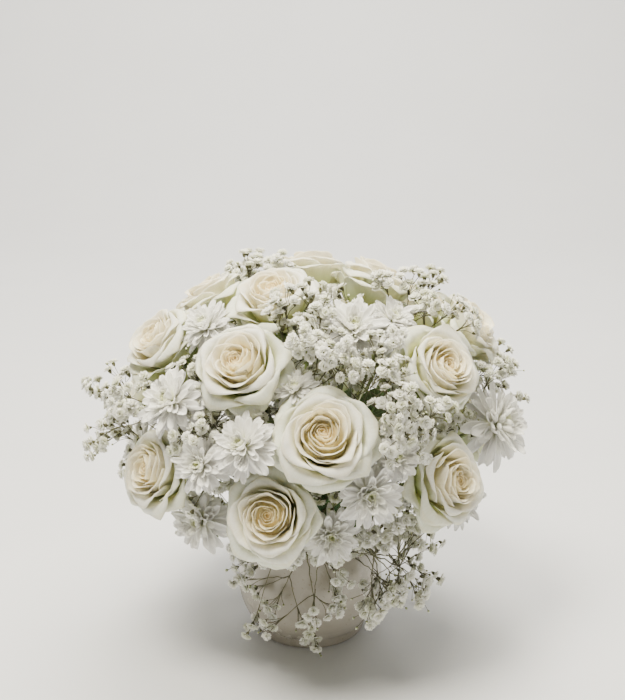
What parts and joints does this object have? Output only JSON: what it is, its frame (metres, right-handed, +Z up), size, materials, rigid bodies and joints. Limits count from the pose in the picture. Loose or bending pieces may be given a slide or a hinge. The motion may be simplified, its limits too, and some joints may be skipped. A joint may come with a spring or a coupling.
{
  "type": "floral table centerpiece",
  "caption": "Rounded dome of cream roses, white chrysanthemums and baby's breath, their stems held in floral foam inside a low round ceramic bowl.",
  "frame": {"origin": "centre of the bowl's flat base, on the surface it stands on", "axes": "+Z up through the middle of the bowl and the dome of flowers; -Y towards the front of the arrangement; +X to its right as seen from the front"},
  "size_m": [0.3375, 0.3089, 0.3063],
  "materials": {
    "ceramic": "satin",
    "foam": "matte",
    "rose_petal": "satin",
    "chrysanthemum_petal": "satin",
    "babys_breath": "matte",
    "leaf": "satin"
  },
  "bodies": {
    "root": {"babys_breath_01": "babys_breath", "babys_breath_02": "babys_breath", "babys_breath_03": "babys_breath", "babys_breath_04": "babys_breath", "babys_breath_05": "babys_breath", "babys_breath_06": "babys_breath", "babys_breath_07": "babys_breath", "babys_breath_08": "babys_breath", "babys_breath_09": "babys_breath", "babys_breath_10": "babys_breath", "bowl": "ceramic", "chrysanthemum_01": "chrysanthemum_petal", "chrysanthemum_02": "chrysanthemum_petal", "chrysanthemum_03": "chrysanthemum_petal", "chrysanthemum_04": "chrysanthemum_petal", "chrysanthemum_05": "chrysanthemum_petal", "chrysanthemum_06": "chrysanthemum_petal", "chrysanthemum_07": "chrysanthemum_petal", "chrysanthemum_08": "chrysanthemum_petal", "chrysanthemum_09": "chrysanthemum_petal", "chrysanthemum_10": "chrysanthemum_petal", "chrysanthemum_11": "chrysanthemum_petal", "chrysanthemum_12": "chrysanthemum_petal", "chrysanthemum_13": "chrysanthemum_petal", "chrysanthemum_14": "chrysanthemum_petal", "chrysanthemum_15": "chrysanthemum_petal", "chrysanthemum_16": "chrysanthemum_petal", "chrysanthemum_17": "chrysanthemum_petal", "chrysanthemum_18": "chrysanthemum_petal", "chrysanthemum_19": "chrysanthemum_petal", "chrysanthemum_20": "chrysanthemum_petal", "chrysanthemum_21": "chrysanthemum_petal", "chrysanthemum_22": "chrysanthemum_petal", "chrysanthemum_23": "chrysanthemum_petal", "chrysanthemum_24": "chrysanthemum_petal", "chrysanthemum_25": "chrysanthemum_petal", "chrysanthemum_26": "chrysanthemum_petal", "floral_foam": "foam", "leaf_01": "leaf", "leaf_02": "leaf", "leaf_03": "leaf", "rose_01": "rose_petal", "rose_02": "rose_petal", "rose_03": "rose_petal", "rose_04": "rose_petal", "rose_05": "rose_petal", "rose_06": "rose_petal", "rose_07": "rose_petal", "rose_08": "rose_petal", "rose_09": "rose_petal", "rose_10": "rose_petal", "rose_11": "rose_petal", "rose_12": "rose_petal", "rose_13": "rose_petal", "rose_14": "rose_petal", "rose_15": "rose_petal", "rose_16": "rose_petal", "rose_17": "rose_petal", "rose_18": "rose_petal", "rose_19": "rose_petal"}
  },
  "joints": []
}
